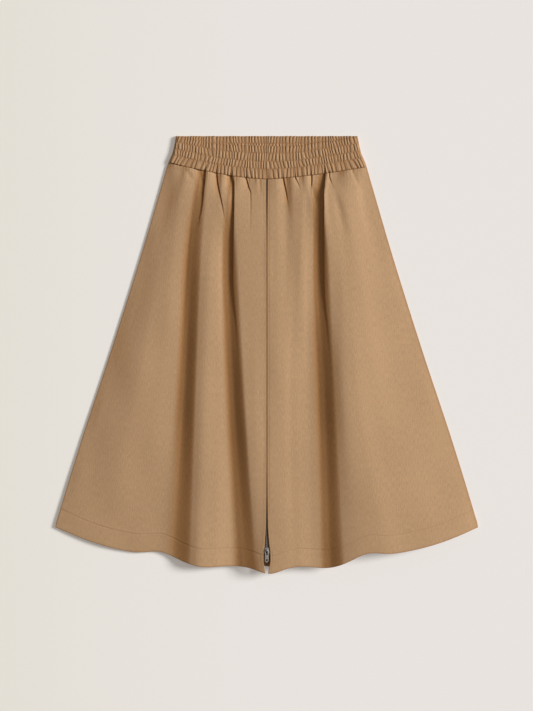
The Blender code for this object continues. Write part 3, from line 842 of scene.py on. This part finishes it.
def crease_depth(x, down):
    """All the creases: each a step down to the left of its line.

    The step is as wide as the crease's face, and its drop fades out to the left
    as a falling exponential. The face widens as the square of the share of the
    drop that is lost.
    """
    depth = np.zeros_like(x)
    for crease in CREASES:
        line, drop = crease_line(crease, down)
        drops, reach = crease[3:]
        past = x - line
        width = CREASE_EDGE + CREASE_FADE * (1 - drop / max(drops)) ** 2
        face = 1 - ease((past + width) / width)
        depth = depth + drop * face * np.exp(np.minimum(past, 0) / reach)
    return depth


def dent_depth(x, down):
    """The soft dents: each a bell-shaped trough about a line that runs down."""
    depth = np.zeros_like(x)
    for downs, xs, depths, widths in DENTS:
        at = np.clip(down, downs[0], downs[-1])
        bell = np.exp(-(((x - smooth(downs, xs, at)) / smooth(downs, widths, at)) ** 2))
        depth = depth + smooth(downs, depths, at) * bell
    return depth


def read_rows(at, x, values):
    """Each row's values at other x, in straight lines between its own."""
    return np.array([np.interp(*row) for row in zip(at, x, values)])


def crowded(x, down, *fields):
    """The grid's rows with their columns moved closer together at the creases.

    A row's density is 1 plus a bell for each crease. The new columns are even
    steps of the density added up along the row, and a few close to both ends.
    """
    density = np.ones_like(x)
    for crease in CREASES:
        line, drop = crease_line(crease, down)
        bell = np.exp(-(((x - line) / CREASE_CROWD_WIDTH) ** 2))
        density = density + CREASE_CROWD * np.minimum(drop, 1) * bell
    total = added_up(np.diff(x, axis=1) * (density[:, 1:] + density[:, :-1]) / 2)
    wanted = spread(0, 1, FRONT_COLUMNS, EDGE_COLUMNS) * total[:, -1:]
    moved = read_rows(wanted, total, x)
    return [moved, *(read_rows(moved, x, field) for field in fields)]


def seam_puckers(x, from_seam):
    """Small even waves across the seam that die out down the cloth.

    The wave is a sine of x, moved by slower sines, times a falling exponential
    of the distance from the seam, whose reach differs from pucker to pucker.
    """
    wander = sum(most * np.sin(x / over + start) for most, over, start in PUCKER_WANDER)
    most, over, start = PUCKER_UNEVEN
    reach = PUCKER_LENGTH * (1 + most * np.sin(x / over + start))
    wave = np.sin(2 * np.pi * (x + wander) / PUCKER)
    return PUCKER_DEPTH * wave * np.exp(-from_seam / reach)


def low_waves(x, down):
    """Low waves that lean across the cloth: three sines of x and down, added."""
    return WAVE_HEIGHT * sum(
        part * np.sin(x / over_x + down / over_down + start)
        for part, over_x, over_down, start in WAVES
    )


def painted_shade_places(x, z):
    """From 0 to 1, for the finish's painted shade: how steeply the cloth rises on the right of a
    point, towards the light.

    It is the steepest of the straight lines from the point to the face at a few
    distances to its right, less a slope that does not count.
    """
    rise = np.zeros_like(z)
    for reach in SHADE_REACHES:
        rise = np.maximum(rise, (read_rows(x + reach, x, z) - z) / reach)
    return ease((rise - SHADE_FROM) / (SHADE_FULL - SHADE_FROM))


def stitch_sink(distance):
    """A bell-shaped groove at the stitches, and a fainter ridge beside them."""
    groove = np.exp(-((distance / STITCH_SINK_WIDTH) ** 2))
    ridge = np.exp(-(((distance - STITCH_RIDGE_AT) / STITCH_SINK_WIDTH) ** 2))
    return STITCH_SINK * (STITCH_RIDGE * ridge - groove)


def above(z, lowest):
    """z, bent softly so that it never goes below the lowest height."""
    return 0.5 * (z + lowest + np.sqrt((z - lowest) ** 2 + SOFT_STOP**2))


def front_surface(folds, shares, lines):
    """The face of one front half: its folds with creases, puckers and stitching."""
    x, down, z = fold_surface(folds, FRONT_SEAM, hem_down, shares, lines)
    x, down, z = crowded(x, down, down, z)
    from_seam, from_hem = down - down[:1], down[-1:] - down
    zip_column = 0 if folds[0][0] == "zip edge" else -1
    from_zip = np.abs(x - x[:, [zip_column]])
    from_side = np.abs(x - x[:, [-1 - zip_column]])
    inside = ease(from_zip / CALM_ZIP) * ease(from_side / CALM_SIDE)
    waving = inside * ease(from_seam / CALM_SEAM) * (0.5 + 0.5 * ease(from_hem / CALM_HEM))
    sunk = crease_depth(x, down) + dent_depth(x, down)
    z = z - sunk * ease(from_zip / CREASES_FROM_ZIP)
    z = z + seam_puckers(x, from_seam) * inside
    z = z + low_waves(x, down) * waving
    z = z - SEAM_ROLL_DEPTH * (1 - ease(from_seam / SEAM_ROLL))
    z = z + stitch_sink(from_hem - HEM_STITCH)
    z = z + ZIP_STITCH_SINK * stitch_sink(from_zip - ZIP_STITCH)
    return x, down, above(z, LOWEST_FACE), from_zip, from_side, from_hem


def add_front(side, folds):
    """One front half as a cloth wall below its face, with its two rows of stitching."""
    length = LENGTH - max(down for _, down in FRONT_SEAM)
    shares = hem_rows(FRONT_ROWS, length, FRONT_ROWS_CLOSER)
    lines = even_lines(folds, FOLD_COLUMNS)
    x, down, z, from_zip, from_side, from_hem = front_surface(folds, shares, lines)
    low = z - wall_thickness(from_hem) * np.minimum(slope_factor(x, down, z), STEEPEST_WALL)
    edge = np.minimum.reduce([from_zip, from_side, from_hem])
    # The last argument paints shade on each fold's side that faces away from the light
    made = add_cloth(
        f"front_{side}_cloth", x, down, low, z, edge, drill, CLOTH / 2, painted_shade_places(x, z)
    )
    hem_thread = add_stitches(
        f"front_{side}_hem_thread", *line_at(from_hem, HEM_STITCH, x, down, z)
    )
    toward_zip = slice(None, None, -1 if side == "right" else 1)
    turned = [field.T[toward_zip] for field in (from_zip, x, down, z)]
    zip_line = line_at(turned[0], ZIP_STITCH, *turned[1:])
    zip_line = [field[:-ZIP_STITCH_ENDS] for field in zip_line]
    zip_thread = add_stitches(f"front_{side}_zip_thread", *zip_line)
    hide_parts(f"front_panel_{side}")
    return made, x, down, low


front_left, *left_underside = add_front("left", LEFT_FOLDS)
front_right, *right_underside = add_front("right", RIGHT_FOLDS)

# ------------------------------------------------------- the zip's two sides
# Two woven tapes are sewn under the front's edges, and each carries a row of
# metal teeth that hook into each other down to the slider, near the hem.
# Below the slider the two rows part.

SLIDER_DOWN = (727.5, 737.5)
TEETH_START = 79
TEETH_END = 752
TEETH_WIDTH = 2.7
# How far a row is from the zip line above the slider, and below it
TEETH_TO_MIDDLE = 0.15
TEETH_SPREAD = 2.3
TOOTH_STEP = 2.9
TOOTH_SIDES = 8
TOOTH_SQUARE = 0.6
TOOTH_SHAPE = (
    # out from the row's inner line, half length along the zip, half height
    (-0.75, 0.28, 0.50),
    (-0.50, 0.58, 0.90),
    (0.35, 0.62, 1.10),
    (1.20, 0.46, 1.15),
    (2.55, 0.60, 1.20),
    (2.85, 0.40, 0.95),
)
TAPE_END = 757
TAPE_THICK = 0.8
TAPE_ROUND = 0.4
# The tape's columns, out from the teeth, and how far below the front half each is
TAPE_OUT = (0.25, 0.9, 1.8, 3.4, 6.0, 9.0, 11.4, 11.9, 12.25)
TAPE_DROP = (0.55, 0.5, 0.3, 0.15, 0.15, 0.15, 0.15, 0.15, 0.15)
TAPE_ROW_STEP = 3
TAPE_LIGHT = (0.262, 0.165, 0.098)
TAPE_DARK = (0.150, 0.090, 0.052)
TEETH_LIGHT = (0.46, 0.42, 0.37)
TEETH_DARK = (0.26, 0.23, 0.19)

woven_tape = Finish("woven zip tape", roughness=0.85, specular=0.25)
tape_place = woven_tape.carried("cut", "Vector")
herringbone = woven_tape.waves(tape_place, scale=0.45, direction="DIAGONAL")
tape_ribs = woven_tape.waves(tape_place, scale=0.30, direction="X")
tape_weave = woven_tape.maths("MULTIPLY", herringbone, tape_ribs)
woven_tape.shade({"Base Color": woven_tape.mix(tape_weave, TAPE_DARK, TAPE_LIGHT)})
woven_tape.bump(tape_weave, distance=0.15 * MM)

teeth_metal = Finish("zip teeth metal", roughness=0.42, metallic=0.75)
teeth_wear = teeth_metal.noise(teeth_metal.place(), scale=600, detail=3)
teeth_metal.shade({"Base Color": teeth_metal.mix(teeth_wear, TEETH_DARK, TEETH_LIGHT)})
teeth_metal.shade({"Roughness": teeth_metal.between(teeth_wear, 0.32, 0.55)})


def teeth_inner(down):
    """How far a row of teeth stays from the zip line: apart below the slider."""
    return np.interp(down, SLIDER_DOWN, (TEETH_TO_MIDDLE, TEETH_SPREAD))


def mesh_points(mesh):
    """A mesh's points, in metres."""
    spots = np.empty(len(mesh.vertices) * 3, np.float32)
    mesh.vertices.foreach_get("co", spots)
    return spots.reshape(-1, 3)


def teeth_level(down):
    """Height of the middle of the teeth: that of the solid rail in the frame."""
    spots = mesh_points(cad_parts["zip_teeth_left"].data) / MM
    rail_down, row = np.unique(np.round(LENGTH / 2 - spots[:, 1], 1), return_inverse=True)
    low, high = np.full(rail_down.size, np.inf), np.full(rail_down.size, -np.inf)
    np.minimum.at(low, row, spots[:, 2])
    np.maximum.at(high, row, spots[:, 2])
    return np.interp(down, rail_down, (low + high) / 2)


def add_teeth(side, way, first):
    """One row of teeth. Each is a run of rings, out from the zip line.

    A ring is an ellipse drawn out towards its corners, from the table of the shape.
    """
    out, half_length, half_height = columns(TOOTH_SHAPE)
    down = np.arange(TEETH_START + first * TOOTH_STEP, TEETH_END, TOOTH_STEP)[:, None, None]
    turn = np.linspace(0, 2 * np.pi, TOOTH_SIDES, endpoint=False)
    square = 1 / np.maximum(np.abs(np.cos(turn)), np.abs(np.sin(turn))) ** TOOTH_SQUARE
    x = way * (teeth_inner(down) + out[:, None])
    y = LENGTH / 2 - down - way * half_length[:, None] * np.cos(turn) * square
    z = teeth_level(down) + half_height[:, None] * np.sin(turn) * square
    x, y, z = np.broadcast_arrays(x, y, z)
    made = add_piece(
        f"zip_{side}_teeth",
        np.stack([x, y, z], axis=-1).reshape(-1, 3),
        tube_faces(len(down), len(out), TOOTH_SIDES),
        teeth_metal,
    )
    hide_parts(f"zip_teeth_{side}")


def add_tape(side, way, front, x, down, low):
    """One tape under its front half.

    Its upper face is the half's underside, lowered a little, and more towards
    the teeth. Its rows are some of the half's own rows.
    """
    inner = 0 if way > 0 else -1
    rows = np.flatnonzero(down[:, inner] < TAPE_END)[1::TAPE_ROW_STEP]
    x, down, low = x[rows], down[rows], low[rows]
    middle, out = down[:, [inner]], np.array(TAPE_OUT)
    at = way * (teeth_inner(middle) + TEETH_WIDTH + out)[:, ::way]
    high = read_rows(at, x, low) - np.array(TAPE_DROP)[::way]
    tape_down = np.broadcast_to(middle, at.shape)
    edge = np.broadcast_to(np.minimum(out - out[0], out[-1] - out)[::way], at.shape)
    name, under = f"zip_{side}_tape", high - TAPE_THICK
    made = add_cloth(name, at, tape_down, under, high, edge, woven_tape, TAPE_ROUND)
    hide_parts(f"zip_tape_{side}")


add_tape("left", -1, front_left, *left_underside)
add_tape("right", 1, front_right, *right_underside)
add_teeth("left", -1, 0.0)
add_teeth("right", 1, 0.5)

# --------------------------------------------------------------- the waistband
# A strip of the drill is folded over wide elastic and sewn through it along
# four channels, so it draws up in small gathers that shift from one channel
# to the next. The back half lies under the front half, whose top edge dips.

# The top edge of the band's back, which is straight, and of its front: x, down
BACK_TOP = ((-160, 0.0), (160, 0.0))
FRONT_TOP = (
    (-160, 1.0),
    (-118, 7.5),
    (-85, 14.3),
    (-17, 17.2),
    (37, 18.4),
    (91, 11.7),
    (132, 6.2),
    (160, 1.0),
)
# Where the sewn lines are, as shares down the band, and the rows in a channel
CHANNELS = (0.0, 0.22, 0.47, 0.70, 1.0)
CHANNEL_ROWS = (0.0, 0.03, 0.08, 0.16, 0.30, 0.50, 0.70, 0.84, 0.92, 0.97)
# For each channel: number of gathers across, and how far its first one is shifted
GATHERS = (60, 60, 62, 48)
GATHER_SHIFT = (0.0, 0.3, 0.1, 0.2)
# What makes the gathers uneven: how fast each sine runs across and how far it goes,
# and by how much it starts later from channel to channel
GATHER_WANDER = ((7.3, 0.4), (17.0, 0.22), (37.0, 0.12), (71.0, 0.08))
WANDER_START = 0.9
# How far a gather leans within its channel, and the sines of the lean: share,
# how fast it runs across, later start from channel to channel
GATHER_LEAN = 0.55
LEANS = ((0.6, 5.0, 1.9), (0.4, 23.0, 1.0))
# The lowest gathers are lower by this share, and the heights change by these steps
# from gather to gather and from channel to channel
GATHER_UNEVEN = 0.45
UNEVEN_STEPS = (5.3, 2.7)
# How round the ridges and the swell between two sewn lines are, and the swell there
RIDGE_POWER = 0.8
SWELL_POWER = 0.6
SWELL_AT_STITCHES = 0.4
# Painted shade: the grooves between the gathers are coloured this darker tone
BAND_PAINTED_SHADE = (0.310, 0.145, 0.058)
BAND_WALL = 2.3
BAND_LEAST = 0.9
# The gathers fade over this share at the side seams
BAND_END_WIDTH = 0.03
# The fine ripple that the stitches draw up, its number across, and how deep the
# band's top edge dips between two gathers
STITCH_RIPPLE = 0.2
STITCH_RIPPLES = 110
EDGE_NOTCH = 0.9
BAND_EDGE_ROUND = 0.6
BAND_COLUMNS = 700
BAND_EDGE_COLUMNS = (0.0006, 0.0014, 0.0026)
# How far the creases below the front's band run on into it
TROUGH_REACH = 7.0
BANDS = (
    # half, top edge, seam, height of the inside, wall at the side seams, rise of the
    # gathers, share of the creases' drop that runs on into it, size as cut
    ("back", BACK_TOP, BACK_SEAM, 0.0, 4.5, 1.7, 0.0, (0.40, 0.057)),
    ("front", FRONT_TOP, FRONT_SEAM, 4.8, 1.6, 1.9, 0.8, (0.42, 0.056)),
)


def gathers(share, rows):
    """Ridges across the band, from 0 in a groove or at a sewn line to 1 on a crest.

    A phase counts the gathers: the share times their number, with slow sines
    that make them uneven, and a lean that changes down each channel. A ridge
    is the absolute cosine of the phase, raised to a power that narrows the
    grooves, times a height that differs from ridge to ridge, times a swell
    from one sewn line to the next.
    """
    lines = np.array(CHANNELS)
    last = len(GATHERS) - 1
    channel = np.clip(np.searchsorted(lines, rows, side="right") - 1, 0, last)[:, None]
    inside = (rows[:, None] - lines[channel]) / np.diff(lines)[channel]
    phase = share * np.array(GATHERS)[channel] / 2 + np.array(GATHER_SHIFT)[channel]
    for pace, reach in GATHER_WANDER:
        phase = phase + reach * np.sin(pace * share + WANDER_START * channel)
    lean = sum(part * np.sin(pace * share + start * channel) for part, pace, start in LEANS)
    phase = phase + GATHER_LEAN * lean * (inside - 0.5)
    number = np.floor(phase + 0.5)
    turn = UNEVEN_STEPS[0] * number + UNEVEN_STEPS[1] * channel
    uneven = 1 - GATHER_UNEVEN * (0.5 + 0.5 * np.sin(turn))
    place = np.where(channel == 0, 0.5 + inside / 2, inside)
    place = np.where(channel == last, inside / 2, place)
    swell = np.maximum(np.sin(np.pi * place), 0) ** SWELL_POWER
    swell = SWELL_AT_STITCHES + (1 - SWELL_AT_STITCHES) * swell
    return uneven * swell * np.abs(np.cos(np.pi * phase)) ** RIDGE_POWER


def add_band(half, top, seam, under, end_wall, gather_rise, trough_share, cut):
    """Half of the band: a plain inside, gathers on its face, and three sewn rows.

    Its face is the inside's height plus the wall, the rise of the ridges and a
    fine ripple, less the troughs that the creases below send into it.
    """
    share = spread(-1, 1, BAND_COLUMNS, BAND_EDGE_COLUMNS)
    lines = np.array(CHANNELS)[:, None]
    rows = np.append(lines[:-1] + np.array(CHANNEL_ROWS) * np.diff(lines, axis=0), 1.0)
    ridges = gathers(share, rows)
    x_seam = np.where(share < 0, -seam[0][0], seam[-1][0]) * share
    start = read_curve(top, share * SIDE[0][1]) + EDGE_NOTCH * (1 - ridges[0])
    seam_down = read_curve(seam, x_seam)
    down = start + rows[:, None] * (seam_down - SEAM_GAP - start)
    side_down = np.where(share < 0, down[:, :1], down[:, -1:])
    x = share * read_curve(SIDE, side_down)
    ripple = STITCH_RIPPLE * np.abs(np.cos(np.pi * STITCH_RIPPLES * share / 2))
    inward = ease((1 - np.abs(share)) / BAND_END_WIDTH)
    z = under + end_wall + inward * (BAND_WALL - end_wall + gather_rise * ridges + ripple)
    trough = crease_depth(x, np.broadcast_to(seam_down, x.shape))
    trough = trough * np.exp((down - down[-1:]) / TROUGH_REACH)
    z = above(z - trough_share * trough, under + BAND_LEAST)
    gaps = [down - down[:1], down[-1:] - down, x - x[:, :1], x[:, -1:] - x]
    edge = np.minimum.reduce(gaps)
    # The grooves get painted shade, passed to the finish as hollow
    low, groove = np.full_like(z, under), (1 - ridges) ** 2
    made = add_cloth(
        f"{half}_band", x, down, low, z, edge, gathered_drill, BAND_EDGE_ROUND, groove
    )
    sewn = [
        add_stitches(f"{half}_band_thread_{i + 1}", x[row], down[row], z[row])
        for i, row in enumerate(np.flatnonzero(np.isin(rows, CHANNELS[1:-1])))
    ]
    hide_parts(f"waistband_{half}")


gathered_drill = drill_finish("gathered cotton drill", BAND_PAINTED_SHADE)
for band in BANDS:
    add_band(*band)

# ----------------------------------------------------- the slider and its pull
# The slider is cast metal, dull and grey, and sits on the teeth with its plates
# above and below them. The pull tab is a flat casting with a window for the
# slider's bridge and a small hole near its end. It hangs on the bridge and turns.

CAST_LIGHT = (0.46, 0.44, 0.41)
CAST_DARK = (0.27, 0.255, 0.235)
# The casting's edges are rounded by this where they are sharper than the angle
ROUNDED = 0.2
SHARP = math.radians(35)
WELD = 0.02
# The pull tab, measured from its axis towards the hem, and half widths
PULL_OUTLINE = (
    (-0.9, 1.5),
    (-0.5, 2.4),
    (0.6, 2.75),
    (4.6, 2.7),
    (8.0, 3.0),
    (17.6, 3.0),
    (19.6, 2.5),
    (21.0, 1.5),
    (21.6, 0.4),
)
PULL_EDGE_POINTS = 60
# Middle from the axis, half length and half width, and how square it is
PULL_WINDOW = (4.6, 3.7, 1.6, 4.0)
PULL_HOLE = (17.2, 1.75, 1.75, 2.0)
PULL_HOLE_POINTS = 40
PULL_THICK = 1.2
# The pull's axis lies this far below its solid's top end
PULL_BAR = 0.7

# Painted shade on the slider's face, under the pull's window: x, y, radii
WINDOW_SHADE_AT = (0.0, LENGTH / 2 - 736.6)
WINDOW_SHADE_RADII = (2.6, 4.4)
WINDOW_SHADE_COLOUR = (0.02, 0.017, 0.014)
WINDOW_SHADE_STRENGTH = 3.0


def cast_finish(name, window_shade):
    """Dull cast zinc with fine wear, and painted shade under the pull's window if window_shade is
    set.
    """
    made = Finish(name, roughness=0.45, metallic=0.7)
    place = made.place()
    wear = made.noise(place, scale=420, detail=4)
    tone = made.mix(wear, CAST_DARK, CAST_LIGHT)
    # Painted shade: a dark spot on the slider under the pull's window
    if window_shade:
        scale = [1 / (radius * MM) for radius in WINDOW_SHADE_RADII]
        shift = [-at * MM * by for at, by in zip(WINDOW_SHADE_AT, scale)]
        near = {"Vector": made.mapped(place, Scale=(*scale, 0), Location=(*shift, 0))}
        spot = made.node("ShaderNodeTexGradient", near, gradient_type="SPHERICAL")
        dark = made.between(spot.outputs["Fac"], 0, WINDOW_SHADE_STRENGTH)
        tone = made.mix(made.maths("MINIMUM", dark, 1.0), tone, WINDOW_SHADE_COLOUR)
    made.shade({"Base Color": tone, "Roughness": made.between(wear, 0.36, 0.58)})
    made.bump(wear, distance=0.05 * MM)
    return made


cast_metal = cast_finish("cast slider metal", window_shade=False)
shaded_slider_metal = cast_finish("slider metal with painted shade", window_shade=True)

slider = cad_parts["zip_slider"]
for place in slider.material_slots:
    place.material = shaded_slider_metal.material
weld = slider.modifiers.new("joined points", "WELD")
weld.merge_threshold = WELD * MM
bevel = slider.modifiers.new("rounded edges", "BEVEL")
bevel.width = ROUNDED * MM
bevel.segments = 2
bevel.limit_method = "ANGLE"
bevel.angle_limit = SHARP


def tab_edge():
    """The pull's outline: a smooth curve of half widths, down one side and up the other."""
    along, half = columns(PULL_OUTLINE)
    at = np.linspace(along[0], along[-1], PULL_EDGE_POINTS)
    right = np.stack([smooth(along, half, at), -at], axis=-1)
    return np.concatenate([right, right[::-1] * (-1, 1)])


def rounded_hole(middle, half_length, half_width, squareness):
    """A hole in the pull: a superellipse, round for 2 and squarer above it."""
    turn = np.linspace(0, 2 * np.pi, PULL_HOLE_POINTS, endpoint=False)
    circle = np.stack([np.cos(turn), np.sin(turn)], axis=-1)
    shape = np.sign(circle) * np.abs(circle) ** (2 / squareness)
    return shape * (half_width, -half_length) - (0, middle)


def add_pull():
    """The pull tab: flat outlines filled between, thickened and rounded at the edge.

    Its bar turns on the same axis as the solid's, in the middle of the solid's height.
    """
    low, high = (np.array(corner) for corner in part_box("zip_pull"))
    axis = np.array([0.0, high[1] - PULL_BAR * MM, (low[2] + high[2]) / 2])
    flat = bpy.data.curves.new("pull outline", "CURVE")
    flat.dimensions = "2D"
    flat.fill_mode = "BOTH"
    flat.extrude = (PULL_THICK / 2 - ROUNDED) * MM
    flat.bevel_depth = ROUNDED * MM
    flat.bevel_resolution = 2
    flat.offset = -ROUNDED * MM
    for ring in (tab_edge(), rounded_hole(*PULL_WINDOW), rounded_hole(*PULL_HOLE)):
        spline = flat.splines.new("POLY")
        spline.points.add(len(ring) - 1)
        corners = np.column_stack([ring * MM, np.zeros(len(ring)), np.ones(len(ring))])
        spline.points.foreach_set("co", corners.ravel())
        spline.use_cyclic_u = True
    drawn = put_in_scene("pull outline", flat)
    seen = drawn.evaluated_get(bpy.context.evaluated_depsgraph_get())
    mesh = bpy.data.meshes.new_from_object(seen)
    bpy.data.objects.remove(drawn)
    mesh.vertices.foreach_set("co", (mesh_points(mesh) + axis).astype(np.float32).ravel())
    mesh.update()
    mesh.materials.clear()
    mesh.materials.append(cast_metal.material)
    made = put_in_scene("pull_tab", mesh)
    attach(made, "zip_pull")
    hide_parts("zip_pull")


add_pull()
